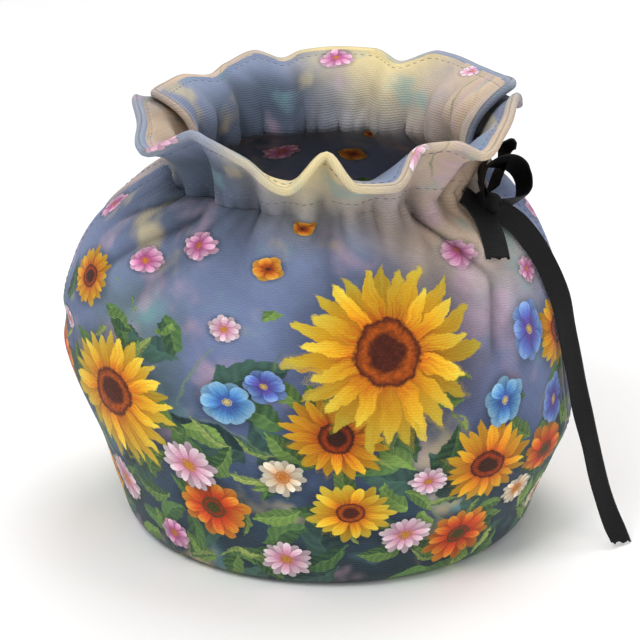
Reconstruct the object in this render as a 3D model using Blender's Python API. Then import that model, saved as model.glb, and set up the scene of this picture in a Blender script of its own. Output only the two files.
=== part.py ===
# Tea cosy of padded printed cloth for a spouted pot, in metres, +Z up.
# It stands on its hem. X runs from the spout side (-X) to the handle side (+X), and the front
# faces -Y. The tables measure from the cosy's upright axis, which stands beside the origin so
# that the origin is the middle of the whole footprint, ribbon included.
# Two panels, front and back, are sewn together below the spout and handle slots, drawn in at the
# neck and flare into a ruffle. A ribbon runs in the neck and is tied in a bow over the handle slot.
from bisect import bisect_right
from collections import namedtuple
from math import cos, degrees, exp, hypot, pi, radians, sin

import bmesh
import bpy
from mathutils import Matrix, Vector

MM = 0.001

# Driving sizes, in millimetres.
AXIS_X = -10.25
AXIS_Y = -0.8
CLOTH_THICK = 3.0
PANEL_COLUMNS = 52
RUFFLE_ROWS = 8
SEAM_GAP = 1.0
NECK_GAP = 3.4
COLLAR_LIFT = 20.0
# A lap grows and fades up the ruffle by these powers, and LAP_PEAK makes its greatest share 1.
LAP_START = 1.6
LAP_END = 1.8
LAP_PEAK = 10.49
RIBBON_WIDE = 10.0
RIBBON_THICK = 1.0
RIBBON_STEPS = 3
KNOT_CENTRE = (70.2, -25.4, 149.5)
KNOT_HALF_SIZE = (8.0, 3.9, 5.4)
KNOT_TURN = 62.0

# One row for each level of the body, from the hem up. Height is at the front, and rise is added
# towards the handle and taken off towards the spout. The next four columns are the half sizes from
# the axis to the middle of the cloth, and steps is the number of mesh rows up to the next level.
Ring = namedtuple("Ring", "name height rise spout handle front back steps")
RINGS = (
    Ring("hem lip", CLOTH_THICK / 2, 0, 72.0, 72.5, 70.0, 70.0, 2),
    Ring("hem sole", CLOTH_THICK / 2, 0, 79.0, 79.5, 78.0, 78.0, 2),
    Ring("hem turn", 5.0, 0, 84.0, 84.5, 83.0, 83.0, 1),
    Ring("foot", 14.0, 0, 87.0, 88.0, 86.5, 86.5, 2),
    Ring("lower side", 36.0, -4, 95.5, 95.0, 91.5, 91.0, 2),
    Ring("belly", 64.0, -12, 109.5, 100.5, 94.5, 94.0, 2),
    Ring("upper belly", 92.0, -4, 108.0, 99.5, 93.0, 92.0, 2),
    Ring("low shoulder", 109.0, 0, 104.0, 95.0, 88.0, 87.0, 2),
    Ring("shoulder", 124.0, 0, 96.5, 88.5, 80.0, 80.0, 2),
    Ring("top of shoulder", 138.0, 0, 82.5, 79.5, 70.5, 70.5, 2),
    Ring("neck roll", 146.0, -1, 70.0, 70.0, 63.0, 63.0, 2),
    Ring("neck", 150.0, 3, 65.0, 65.0, 59.5, 59.0, 0),
)

# One row for each fold of the ruffle's rim, in turns of degrees from the front towards the handle.
# Reach is the distance from the axis. Draw pulls the middle of the ruffle towards the axis, and
# lap swings its upper half round by some degrees, so that the front passes outside the back.
Fold = namedtuple("Fold", "name turn reach height draw lap")
FRONT_FOLDS = (
    Fold("spout corner", -92, 82.5, 176, -2, -30),
    Fold("side lobe", -74, 77.5, 173.5, 0, -17),
    Fold("drooping lobe", -53, 83, 170, 0, -2),
    Fold("pleat", -39, 71, 181, 3, 0),
    Fold("flank", -27, 76, 182, 1, 0),
    Fold("long flank", -13, 82, 179, 0, 0),
    Fold("front lobe", 0, 88, 170.5, 0, 0),
    Fold("front pleat", 10.5, 72, 181, 3, 0),
    Fold("wide lobe", 19, 86, 171, 0, 0),
    Fold("wide lobe end", 28, 88, 171, 0, 0),
    Fold("pleat", 41, 74, 181, 2, 0),
    Fold("crest", 50, 80, 182, 0, 0),
    Fold("lobe", 58, 86, 176, 0, 2),
    Fold("rising edge", 68, 83.5, 181, 1, 12),
    Fold("high bend", 86, 79, 188.5, 0, 24),
    Fold("handle corner", 100, 80, 177.5, -3, 54),
)
BACK_FOLDS = (
    Fold("handle corner", 88, 77, 193, 18.5, 0),
    Fold("rolled edge", 106, 76.5, 187, 25, 0),
    Fold("flank", 124, 79, 181, 23, 0),
    Fold("lobe", 141, 83.5, 178, 10, 0),
    Fold("lobe", 157, 87, 178, 1, 0),
    Fold("pleat", 166.5, 76, 174, 3, 0),
    Fold("wide lobe", 177, 86, 175.5, 0, 0),
    Fold("wide lobe", 190, 88, 175, 0, 0),
    Fold("wide lobe end", 199, 85, 174.5, 0, 0),
    Fold("pleat", 206, 77, 174, 3, 0),
    Fold("lobe", 213, 86, 176, 0, 0),
    Fold("lobe", 223, 83, 173, 0, 0),
    Fold("pleat", 233, 76.5, 172, 9, 0),
    Fold("lobe", 242, 81, 174, 16, 0),
    Fold("flank", 254, 78, 175.5, 22, 0),
    Fold("spout corner", 267, 76, 177.5, 20, 0),
)

# One row for each gather that runs down from the neck: its turn there, how far it drifts on its
# way down, its depth, its half width in degrees, and how far down the cloth it runs.
Gather = namedtuple("Gather", "turn drift depth width run")
FRONT_GATHERS = (
    Gather(-78, 0, 2.4, 5.0, 34),
    Gather(-65, -2, 3.2, 5.0, 42),
    Gather(-53, -1, 2.4, 4.0, 26),
    Gather(-40, 5, 5.2, 6.0, 62),
    Gather(-28, 1, 2.8, 4.0, 26),
    Gather(-18, 5, 4.8, 4.6, 60),
    Gather(-5, 0, 2.8, 4.0, 24),
    Gather(11, 1, 4.4, 4.4, 28),
    Gather(25, 4, 3.2, 4.6, 36),
    Gather(41, 10, 5.6, 5.6, 78),
    Gather(56, 3, 2.8, 4.4, 32),
    Gather(71, 1, 2.0, 4.6, 34),
)
BACK_GATHERS = (
    Gather(92, 0, 7.0, 8.0, 34),
    Gather(112, -3, 4.4, 6.0, 56),
    Gather(127, 0, 2.8, 4.4, 28),
    Gather(141, 5, 4.8, 6.0, 64),
    Gather(154, 0, 2.8, 4.4, 26),
    Gather(167, -2, 4.6, 5.4, 50),
    Gather(181, 1, 3.0, 4.6, 30),
    Gather(193, 3, 3.6, 5.0, 40),
    Gather(206, -4, 5.0, 6.0, 66),
    Gather(220, 0, 2.8, 4.4, 28),
    Gather(233, -2, 4.6, 5.6, 54),
    Gather(247, 0, 3.0, 4.6, 32),
    Gather(268, 0, 6.0, 8.0, 34),
)

# One row for each slot between the panels: where the panels part, the heights of the slot's ends,
# and how far each panel stands back from the parting at the slot's widest.
Slot = namedtuple("Slot", "part low high stand_back")
SPOUT_SLOT = Slot(-90.0, 76.0, 152.0, 11.0)
HANDLE_SLOT = Slot(86.0, 54.0, 149.0, 8.0)

# One row for each place along a strand of ribbon: the middle of its width in x, y and z, then the
# turn and the tilt above level of the line across its width.
Place = namedtuple("Place", "x y z turn tilt")
LONG_TAIL = (
    Place(70.6, -25.0, 147.6, 125, 0),
    Place(80.5, -21.5, 140.7, 126, 0),
    Place(86.7, -20.0, 133.2, 128, 0),
    Place(92.1, -19.0, 124.6, 132, 0),
    Place(96.6, -19.0, 115.4, 134, 0),
    Place(100.2, -18.8, 105.6, 136, 0),
    Place(103.3, -18.2, 90.2, 138, 0),
    Place(105.9, -18.0, 78.4, 140, 0),
    Place(109.2, -18.5, 62.5, 140, 0),
    Place(113.9, -19.5, 44.9, 140, 0),
    Place(117.6, -20.0, 30.0, 140, 0),
    Place(122.3, -20.4, 15.4, 140, 0),
    Place(128.4, -21.2, 1.7, 140, 0),
)
SHORT_TAIL = (
    Place(60.4, -28.6, 153.0, 150, 4),
    Place(63.4, -28.3, 150.6, 146, 2),
    Place(66.6, -28.8, 147.5, 138, 0),
    Place(69.8, -30.8, 144.4, 130, 0),
    Place(72.6, -33.9, 140.4, 124, 0),
    Place(74.9, -37.8, 136.3, 120, 0),
    Place(76.8, -42.0, 132.0, 118, 0),
)
LOW_LOOP = (
    Place(67.9, -26.0, 151.0, 14, 22),
    Place(67.6, -25.0, 156.0, 12, 22),
    Place(67.7, -21.3, 160.6, 20, 28),
    Place(70.0, -15.0, 162.6, 42, 40),
    Place(73.6, -8.0, 161.2, 58, 44),
    Place(77.0, -3.0, 158.6, 64, 44),
    Place(79.6, -0.5, 154.8, 64, 42),
    Place(81.4, -2.0, 151.2, 64, 38),
    Place(82.0, -5.5, 148.0, 64, 36),
    Place(81.0, -10.5, 146.4, 64, 38),
    Place(78.6, -15.5, 146.2, 64, 42),
    Place(75.6, -20.0, 146.7, 64, 44),
    Place(72.6, -23.6, 147.8, 64, 44),
)
HIGH_LOOP = (
    Place(68.6, -23.0, 151.5, 24, 28),
    Place(66.4, -21.0, 157.0, 20, 28),
    Place(66.4, -16.0, 161.0, 34, 34),
    Place(68.0, -9.0, 163.2, 54, 40),
    Place(70.0, -2.6, 164.8, 64, 42),
    Place(71.9, 2.0, 165.0, 66, 42),
    Place(72.8, 4.6, 162.8, 66, 42),
    Place(72.6, 3.0, 159.8, 66, 42),
    Place(71.8, -3.0, 157.0, 66, 42),
    Place(71.2, -10.0, 154.4, 66, 42),
    Place(70.4, -17.5, 151.6, 66, 42),
)
STRANDS = (LONG_TAIL, SHORT_TAIL, LOW_LOOP, HIGH_LOOP)


def smooth(x):
    x = max(0.0, min(1.0, x))
    return x * x * (3 - 2 * x)


def slopes(xs, ys):
    """Slopes that keep a cubic through the points from overshooting."""
    steps = [(ys[i + 1] - ys[i]) / (xs[i + 1] - xs[i]) for i in range(len(xs) - 1)]
    inner = [
        0.0 if a * b <= 0 else 2 * a * b / (a + b)
        for a, b in zip(steps, steps[1:])
    ]
    return [steps[0], *inner, steps[-1]]


class Curve:
    """A smooth curve through a table's column, read at any x."""

    def __init__(self, xs, ys):
        self.xs, self.ys, self.ms = xs, ys, slopes(xs, ys)

    def __call__(self, x):
        i = min(max(bisect_right(self.xs, x) - 1, 0), len(self.xs) - 2)
        wide = self.xs[i + 1] - self.xs[i]
        t = max(0.0, min(1.0, (x - self.xs[i]) / wide))
        a, b, c, d = self.ys[i], self.ys[i + 1], self.ms[i] * wide, self.ms[i + 1] * wide
        return (
            a * (1 + 2 * t) * (1 - t) ** 2
            + b * t * t * (3 - 2 * t)
            + c * t * (1 - t) ** 2
            + d * t * t * (t - 1)
        )


def mean_reach(ring):
    return (ring.spout + ring.handle + ring.front + ring.back) / 4


def ring_places():
    """How far up the cloth each ring lies, from the hem lip."""
    places = [0.0]
    for low, high in zip(RINGS, RINGS[1:]):
        climb = hypot(high.height - low.height, mean_reach(high) - mean_reach(low))
        places.append(places[-1] + climb)
    return places


PLACES = ring_places()
NECK_PLACE = PLACES[-1]
BODY = {
    column: Curve(PLACES, [getattr(ring, column) for ring in RINGS])
    for column in ("height", "rise", "spout", "handle", "front", "back")
}


def gather_depth(gathers, turn, below):
    """How far the gathers draw the cloth in, at a turn and a distance below the neck."""
    depth = 0.0
    for g in gathers:
        share = max(0.0, below) / g.run
        off = (turn - g.turn - g.drift * share) / g.width
        trough = exp(-off * off) - 0.3 * exp(-(((abs(off) - 1.7) / 0.7) ** 2))
        depth += g.depth * (1 - smooth(share)) * trough
    return depth


def unevenness(turn, height):
    """The soft swells of hand-sewn padded cloth, none at the hem."""
    a = radians(turn)
    swell = sin(3 * a + height / 23 + 1.0) + 0.7 * sin(5 * a - height / 17 + 2.0)
    return 0.8 * swell * smooth((height - 10) / 45)


def body_point(gathers, turn, place):
    """A point of the body's mid surface, from its turn and its place up the cloth."""
    a = radians(turn)
    across = BODY["handle"](place) if sin(a) >= 0 else BODY["spout"](place)
    along = BODY["front"](place) if cos(a) >= 0 else BODY["back"](place)
    height = BODY["height"](place) + BODY["rise"](place) * sin(a)
    x, y = across * sin(a), -along * cos(a)
    reach = hypot(x, y)
    drawn = gather_depth(gathers, turn, NECK_PLACE - place) - unevenness(turn, height)
    scale = (reach - drawn) / reach
    return Vector((x * scale, y * scale, height))


def ruffle_point(folds, gathers, neck_turn, rim_turn, t):
    """A point of the ruffle, t from 0 at the neck to 1 at the rim."""
    neck = body_point(gathers, neck_turn, NECK_PLACE)
    rim_angle = radians(rim_turn)
    reach, height = folds["reach"](rim_turn), folds["height"](rim_turn)
    rim = Vector((reach * sin(rim_angle), -reach * cos(rim_angle), height))
    inward = -Vector((neck.x, neck.y, 0)).normalized()
    collar = neck + Vector((0, 0, COLLAR_LIFT)) + inward * folds["draw"](rim_turn)
    point = neck * (1 - t) ** 2 + collar * 2 * t * (1 - t) + rim * t * t
    lap = radians(folds["lap"](rim_turn)) * LAP_PEAK * t**LAP_START * (1 - t) ** LAP_END
    return Matrix.Rotation(lap, 3, "Z") @ point


def slot_edge(slot, place):
    """The turn from the parting to a panel's edge, at a place up the cloth."""
    side = sin(radians(slot.part))
    height = BODY["height"](place) + BODY["rise"](place) * side
    reach = BODY["handle" if side > 0 else "spout"](place)
    share = (height - slot.low) / (slot.high - slot.low)
    open_by = slot.stand_back * sin(pi * share) ** 0.8 if 0 < share < 1 else 0.0
    gap = SEAM_GAP + (NECK_GAP - SEAM_GAP) * smooth((place - NECK_PLACE + 18) / 18)
    return degrees((open_by + gap / 2) / reach)


def panel_rows():
    """The places up the cloth of the body's mesh rows."""
    rows = []
    for ring, low, high in zip(RINGS, PLACES, PLACES[1:]):
        rows += [low + (high - low) * k / ring.steps for k in range(ring.steps)]
    return rows + [NECK_PLACE]


def panel_points(first, last, folds, gathers):
    """Rows of points over a panel, whose edges are at two slots. Each slot comes with its turn,
    a sign for the side of the parting that the panel lies on, and whole turns to add."""
    curves = {
        column: Curve([f.turn for f in folds], [getattr(f, column) for f in folds])
        for column in ("reach", "height", "draw", "lap")
    }
    shares = [k / PANEL_COLUMNS for k in range(PANEL_COLUMNS + 1)]
    points = []
    for place in panel_rows():
        low = first.part + slot_edge(first, place)
        high = last.part - slot_edge(last, place)
        points.append([body_point(gathers, low + (high - low) * u, place) for u in shares])
    rim_low, rim_high = folds[0].turn, folds[-1].turn
    for k in range(1, RUFFLE_ROWS + 1):
        t = k / RUFFLE_ROWS
        points.append(
            [
                ruffle_point(
                    curves,
                    gathers,
                    low + (high - low) * u,
                    rim_low + (rim_high - rim_low) * u,
                    t,
                )
                for u in shares
            ]
        )
    return points


def cloth_material(name, colour, roughness):
    material = bpy.data.materials.new(name)
    material.use_nodes = True
    shader = material.node_tree.nodes["Principled BSDF"]
    shader.inputs["Base Color"].default_value = (*colour, 1)
    shader.inputs["Roughness"].default_value = roughness
    shader.inputs["Metallic"].default_value = 0.0
    material.diffuse_color = (*colour, 1)
    return material


def add_object(name, mesh, material):
    thing = bpy.data.objects.new(name, mesh)
    bpy.context.scene.collection.objects.link(thing)
    mesh.transform(Matrix.Translation(Vector((AXIS_X, AXIS_Y, 0)) * MM))
    mesh.materials.append(material)
    mesh.shade_smooth()
    return thing


def add_panel(name, points, material):
    """Padded cloth: a grid over the panel's mid surface, thickened both ways."""
    build = bmesh.new()
    grid = [[build.verts.new(p * MM) for p in row] for row in points]
    for below, above in zip(grid, grid[1:]):
        for i in range(len(below) - 1):
            build.faces.new((below[i], below[i + 1], above[i + 1], above[i]))
    mesh = bpy.data.meshes.new(name)
    build.to_mesh(mesh)
    build.free()
    panel = add_object(name, mesh, material)
    thicken = panel.modifiers.new("Cloth and wadding", "SOLIDIFY")
    thicken.thickness = CLOTH_THICK * MM
    thicken.offset = 0.0
    thicken.use_quality_normals = True
    return panel


def strand_sections(places):
    """The corners of a strand's cross-section at each step of a smooth path through its places."""
    points = [Vector((p.x, p.y, p.z)) for p in places]
    lengths = [0.0]
    for a, b in zip(points, points[1:]):
        lengths.append(lengths[-1] + (b - a).length)
    curves = [Curve(lengths, [p[i] for p in places]) for i in range(5)]
    steps = RIBBON_STEPS * (len(places) - 1)
    stops = [lengths[-1] * k / steps for k in range(steps + 1)]
    middles = [Vector((curves[0](s), curves[1](s), curves[2](s))) for s in stops]
    sections = []
    for k, (s, middle) in enumerate(zip(stops, middles)):
        along = middles[min(k + 1, steps)] - middles[max(k - 1, 0)]
        turn, tilt = radians(curves[3](s)), radians(curves[4](s))
        across = Vector((sin(turn) * cos(tilt), -cos(turn) * cos(tilt), sin(tilt)))
        up = across.cross(along).normalized() * RIBBON_THICK / 2
        side = along.cross(up).normalized() * RIBBON_WIDE / 2
        sections.append(
            [middle + side + up, middle - side + up, middle - side - up, middle + side - up]
        )
    return sections


def add_strand(places, material):
    build = bmesh.new()
    rings = [[build.verts.new(p * MM) for p in ring] for ring in strand_sections(places)]
    for low, high in zip(rings, rings[1:]):
        for i in range(4):
            j = (i + 1) % 4
            build.faces.new((low[i], low[j], high[j], high[i]))
    build.faces.new(list(reversed(rings[0])))
    build.faces.new(rings[-1])
    bmesh.ops.recalc_face_normals(build, faces=build.faces)
    mesh = bpy.data.meshes.new("Strand")
    build.to_mesh(mesh)
    build.free()
    return add_object("Strand", mesh, material)


def add_bow(name, material):
    """The ribbon's knot with its loops and tails, joined into one body."""
    build = bmesh.new()
    bmesh.ops.create_icosphere(build, subdivisions=2, radius=1.0)
    turn = Matrix.Rotation(radians(KNOT_TURN), 3, "Z")
    for vertex in build.verts:
        sized = Vector([c * half for c, half in zip(vertex.co, KNOT_HALF_SIZE)])
        vertex.co = (turn @ sized + Vector(KNOT_CENTRE)) * MM
    mesh = bpy.data.meshes.new(name)
    build.to_mesh(mesh)
    build.free()
    bow = add_object(name, mesh, material)
    for k, places in enumerate(STRANDS):
        strand = add_strand(places, material)
        strand.hide_render = True
        strand.display_type = "WIRE"
        union = bow.modifiers.new(f"Strand {k + 1}", "BOOLEAN")
        union.operation = "UNION"
        union.solver = "EXACT"
        union.object = strand
    return bow


def clear_scene():
    for thing in list(bpy.data.objects):
        bpy.data.objects.remove(thing)


def main():
    clear_scene()
    print_cloth = cloth_material("Printed canvas", (0.42, 0.45, 0.58), 0.85)
    lining = cloth_material("Printed canvas back", (0.44, 0.44, 0.55), 0.85)
    add_panel(
        "front_panel",
        panel_points(SPOUT_SLOT, HANDLE_SLOT, FRONT_FOLDS, FRONT_GATHERS),
        print_cloth,
    )
    back_slot = SPOUT_SLOT._replace(part=SPOUT_SLOT.part + 360)
    add_panel(
        "back_panel",
        panel_points(HANDLE_SLOT, back_slot, BACK_FOLDS, BACK_GATHERS),
        lining,
    )
    add_bow("ribbon_tie", cloth_material("Black ribbon", (0.012, 0.012, 0.013), 0.6))


main()
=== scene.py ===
from math import cos, degrees, pi, radians, sin

import bpy
import numpy as np
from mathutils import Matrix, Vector


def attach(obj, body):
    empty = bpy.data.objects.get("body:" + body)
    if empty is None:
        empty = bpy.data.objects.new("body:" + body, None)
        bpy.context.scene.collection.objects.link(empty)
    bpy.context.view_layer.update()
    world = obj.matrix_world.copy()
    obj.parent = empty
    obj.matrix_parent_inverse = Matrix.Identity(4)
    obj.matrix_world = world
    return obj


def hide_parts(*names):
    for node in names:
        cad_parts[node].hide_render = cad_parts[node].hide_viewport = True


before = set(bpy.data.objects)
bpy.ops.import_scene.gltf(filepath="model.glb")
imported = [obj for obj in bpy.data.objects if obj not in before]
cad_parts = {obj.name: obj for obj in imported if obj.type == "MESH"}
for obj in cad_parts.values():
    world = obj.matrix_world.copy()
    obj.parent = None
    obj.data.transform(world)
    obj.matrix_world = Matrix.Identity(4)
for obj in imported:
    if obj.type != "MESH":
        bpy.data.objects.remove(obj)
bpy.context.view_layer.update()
scene = bpy.context.scene
mm = 0.001

print("camera, lights and floor")

photoView = dict(
    turn=11.0,  # degrees that the camera stands to the right of the front
    climb=22.0,  # degrees above level
    distance=1.30,
    lookAt=(-0.01365, -0.0008, 0.0828),
    framed=0.2688,  # width of the frame at that distance, in metres
)
studio = dict(
    floorSize=6.0,
    floorColour="#ffffff",
    worldStrength=0.5,
    lightsAim=(0, 0, 0.09),
    # name, place, size and power of each light
    lights=(("keyLight", (-0.45, -0.8, 1.35), 0.6, 9.6), ("fillLight", (0.9, -0.8, 0.6), 0.9, 2.4),
            ("topLight", (0.1, 0.5, 1.3), 0.8, 8.6)),
)


def toLinear(hexColour):
    # sRGB hex to the linear values that Blender works in
    parts = [int(hexColour[i:i + 2], 16) / 255 for i in (1, 3, 5)]
    return (*[c / 12.92 if c <= 0.04045 else ((c + 0.055) / 1.055) ** 2.4 for c in parts], 1.0)


# kinds of node that are used over and over
math, vectorMath, remap, mix, noise, join, split = (
    "ShaderNode" + kind for kind in
    ("Math", "VectorMath", "MapRange", "MixRGB", "TexNoise", "CombineXYZ", "SeparateXYZ"))


def addNode(tree, kind, links=(), does=None, **settings):
    # links: a list or dict of input -> value, node or socket; does: what a math node works out, or
    # how a remap eases
    node = tree.nodes.new(kind)
    if does:
        settings["interpolation_type" if kind == remap else "operation"] = does
    for key, value in settings.items():
        setattr(node, key, value)
    for key, value in links.items() if isinstance(links, dict) else enumerate(links):
        if isinstance(value, bpy.types.Node):
            value = value.outputs[0]
        if isinstance(value, bpy.types.NodeSocket):
            tree.links.new(value, node.inputs[key])
        else:
            node.inputs[key].default_value = value
    return node


def newMaterial(name):
    material = bpy.data.materials.new(name)
    material.use_nodes = True
    material.node_tree.nodes.clear()
    return material, material.node_tree


def addObject(name, data):
    item = bpy.data.objects.new(name, data)
    scene.collection.objects.link(item)
    return item


def addCamera():
    turn, climb = radians(photoView["turn"]), radians(photoView["climb"])
    back = Vector((sin(turn) * cos(climb), -cos(turn) * cos(climb), sin(climb)))
    data = bpy.data.cameras.new("photoCamera")
    data.lens = data.sensor_width * photoView["distance"] / photoView["framed"]
    camera = addObject("photoCamera", data)
    camera.location = Vector(photoView["lookAt"]) + back * photoView["distance"]
    camera.rotation_euler = (-back).to_track_quat("-Z", "Y").to_euler()
    scene.camera = camera


def addLight(name, place, size, power):
    data = bpy.data.lights.new(name, "AREA")
    data.size = size
    data.energy = power
    light = addObject(name, data)
    light.location = place
    aim = Vector(studio["lightsAim"]) - light.location
    light.rotation_euler = aim.to_track_quat("-Z", "Y").to_euler()


def addStudio():
    material, tree = newMaterial("Matt white studio floor")
    shader = addNode(tree, "ShaderNodeBsdfPrincipled", {"Base Color": toLinear(studio["floorColour"]),
        "Roughness": 0.9, "Specular IOR Level": 0.1})
    addNode(tree, "ShaderNodeOutputMaterial", [shader])
    half = studio["floorSize"] / 2
    mesh = bpy.data.meshes.new("studioFloor")
    corners = [(-half, -half, 0), (half, -half, 0), (half, half, 0), (-half, half, 0)]
    mesh.from_pydata(corners, [], [(0, 1, 2, 3)])
    mesh.materials.append(material)
    floor = addObject("studioFloor", mesh)
    world = bpy.data.worlds.new("Soft white room")
    world.use_nodes = True
    sky = world.node_tree.nodes["Background"]
    sky.inputs["Color"].default_value = (1, 1, 1, 1)
    sky.inputs["Strength"].default_value = studio["worldStrength"]
    scene.world = world
    for light in studio["lights"]:
        addLight(*light)
    scene.view_settings.view_transform = "Standard"


addCamera()
addStudio()

print("cloth shape")

# Sizes in millimetres from the cosy's upright axis.
cosyShape = dict(
    axis=(-10.25, -0.8),
    outerHalf=1.5,  # from the middle of the cloth to its outer face
    innerHalf=1.4,
    bead=0.45,  # how much thicker the turned edges are
    beadWide=3.4,
    groove=0.35,  # how far the stitches beside a turned edge pull the cloth in
    grooveWide=0.8,
    edgeMap=30,  # mm from an edge up to which the cloth notes its distance
    rollWide=2.6,  # outer cloth that shows rolled over the rim, on the lining side
    roundEdge=4.5,  # mm of print that the rounded edge takes up
    seamGap=-0.1,  # the two panels press together along the side seams
    neckGap=2.6,
    collarLift=20.0,
    puckerStep=4.4,  # degrees between the fine puckers at the neck
    puckerShift=1.2,
    puckerDepth=(0.7, 2.6), puckerWide=(1.4, 2.5),  # mm, and degrees
    puckerDown=(10, 32), puckerOver=(8, 17), puckerLean=0.08,
    edgeFade=4,  # degrees from a side edge where the puckers and creases end
    slotFade=18,  # mm below the neck where a slot's edges start to part for the ribbon
    gatherShade=0.22,  # how much a gather's depth counts beside a crease's in the shade of its trough
    lapPowers=(1.3, 2.0, 9.14),  # how a lap grows and fades up the ruffle, and what makes its peak 1
    seed=11,
)

stitching = dict(
    spacing=3.4, length=2.2, width=0.3, seed=5,
    proud=0.12,  # mm above the cloth
    fromRim=5.2, fromSide=6.0,
    casing=(7.0,),  # mm up the cloth from the neck
    light="#7f8594", dark="#6b7080",
)

# Body levels from the hem up: height at the front, rise towards the handle, then the half sizes
# towards the spout, the handle, the front and the back.
bodyRings = [
    ("hem lip", 1.5, 0, 72, 72.5, 70, 70),
    ("hem sole", 1.5, 0, 79, 79.5, 78, 78),
    ("hem turn", 5, 0, 84, 84.5, 83, 83),
    ("foot", 14, 0, 87, 88, 86.5, 86.5),
    ("lower side", 36, -4, 95.5, 95, 91.5, 91),
    ("belly", 64, -12, 109.5, 100.5, 94.5, 94),
    ("upper belly", 92, -4, 108, 99.5, 93, 92),
    ("low shoulder", 109, 0, 104, 95, 88, 87),
    ("shoulder", 124, 0, 96.5, 88.5, 80, 80),
    ("top of shoulder", 138, 0, 82.5, 79.5, 70.5, 70.5),
    ("neck roll", 146, -1, 70, 70, 63, 63),
    ("neck", 150, 3, 65, 65, 59.5, 59),
]

# Rim folds: turn in degrees from the front towards the handle, reach from the axis, height, how
# far the middle of the ruffle is drawn in, and how far its upper half swings round.
frontFolds = [
    (-92, 82.5, 176, -2, -34), (-74, 77.5, 173.5, 0, -17), (-53, 83, 170, 0, -2),
    (-39, 71, 181, 3, 0), (-27, 76, 182, 1, 0), (-13, 82, 179, 0, 0), (0, 88, 170.5, 0, 0),
    (10.5, 72, 181, 3, 0), (19, 86, 171, 0, 0), (28, 88, 171, 0, 0), (41, 74, 181, 2, 0),
    (50, 80, 182, 0, 0), (58, 86, 176, 0, 2), (68, 83.5, 181, 1, 12), (86, 79, 188.5, 0, 26),
    (99, 78.5, 179.5, -3, 58),
]
backFolds = [
    (88, 77, 193, 7, 2), (106, 76.5, 187, 21, 0), (124, 79, 181, 23, 0), (141, 83.5, 178, 10, 0),
    (157, 87, 178, 1, 0), (166.5, 76, 174, 3, 0), (177, 86, 175.5, 0, 0), (190, 88, 175, 0, 0),
    (199, 85, 174.5, 0, 0), (206, 77, 174, 3, 0), (213, 86, 176, 0, 0), (223, 83, 173, 0, 0),
    (233, 76.5, 172, 9, 0), (242, 81, 174, 16, 0), (254, 78, 175.5, 18, 0), (267, 76, 177.5, 9, 0),
]

# Gathers below the neck: turn, drift on the way down, depth, half width in degrees, run in mm.
frontGathers = [
    (-78, 0, 2.4, 5, 34), (-65, -2, 3.2, 5, 42), (-53, -1, 2.4, 4, 26), (-40, 5, 5.2, 6, 62),
    (-28, 1, 2.8, 4, 26), (-18, 5, 4.8, 4.6, 60), (-5, 0, 2.8, 4, 24), (11, 1, 4.4, 4.4, 28),
    (25, 4, 3.2, 4.6, 36), (41, 10, 5.6, 5.6, 78), (56, 3, 2.8, 4.4, 32), (71, 1, 2, 4.6, 34),
]
backGathers = [
    (92, 0, 7, 8, 34), (112, -3, 4.4, 6, 56), (127, 0, 2.8, 4.4, 28), (141, 5, 4.8, 6, 64),
    (154, 0, 2.8, 4.4, 26), (167, -2, 4.6, 5.4, 50), (181, 1, 3, 4.6, 30), (193, 3, 3.6, 5, 40),
    (206, -4, 5, 6, 66), (220, 0, 2.8, 4.4, 28), (233, -2, 4.6, 5.6, 54), (247, 0, 3, 4.6, 32),
    (268, 0, 6, 8, 34),
]

# Creases given one by one: turn and mm up the cloth at both ends, depth and half width in mm.
frontCreases = [
    (-76, 172, -58, 186, 1.6, 3), (-68, 146, -46, 172, 2.6, 3.4), (-58, 128, -34, 166, 2.4, 3.8),
    (-46, 116, -24, 158, 1.3, 5), (-30, 150, -24, 182, 1.1, 3), (4, 158, 8, 186, 1.2, 3),
    (14, 128, 6, 168, 1, 4.4), (30, 150, 38, 180, 1.3, 3.4), (41, 174, 57, 136, 3.4, 3),
    (58, 142, 51, 104, 2.6, 3.6), (53, 168, 62, 140, -1, 3.4), (66, 96, 76, 140, 1, 5),
    (-84, 84, -60, 96, 1.2, 6), (20, 60, 52, 72, 0.8, 7), (-40, 34, -8, 26, 0.8, 6),
]
backCreases = [
    (106, 150, 114, 182, 1.4, 4), (132, 120, 142, 176, 1.3, 5), (160, 156, 166, 184, 1.2, 3.2),
    (186, 150, 192, 182, 1.2, 3.4), (214, 118, 206, 172, 1.3, 5), (236, 144, 232, 182, 1.2, 3.6),
    (252, 96, 240, 160, 1, 5.4), (150, 70, 186, 60, 0.8, 7), (204, 44, 238, 58, 0.7, 7),
]

# Slots between the panels: where the panels part, the heights of the ends, and how far each panel
# stands back at the widest.
spoutSlot = (-90, 76, 152, 11)
handleSlot = (86, 54, 149, 8)


def smooth(x):
    x = np.clip(x, 0.0, 1.0)
    return x * x * (3 - 2 * x)


def makeCurve(xs, ys):
    # a smooth curve through points that never overshoots them
    xs, ys = np.array(xs, float), np.array(ys, float)
    steps = np.diff(ys) / np.diff(xs)
    slopes = np.zeros(len(xs))
    slopes[0], slopes[-1] = steps[0], steps[-1]
    before, after = steps[:-1], steps[1:]
    same = before * after > 0
    slopes[1:-1][same] = 2 * before[same] * after[same] / (before + after)[same]

    def read(x):
        x = np.asarray(x, float)
        i = np.clip(np.searchsorted(xs, x, side="right") - 1, 0, len(xs) - 2)
        wide = xs[i + 1] - xs[i]
        t = np.clip((x - xs[i]) / wide, 0, 1)
        return (ys[i] * (1 + 2 * t) * (1 - t) ** 2 + ys[i + 1] * t * t * (3 - 2 * t)
                + slopes[i] * wide * t * (1 - t) ** 2 + slopes[i + 1] * wide * t * t * (t - 1))

    return read


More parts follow.
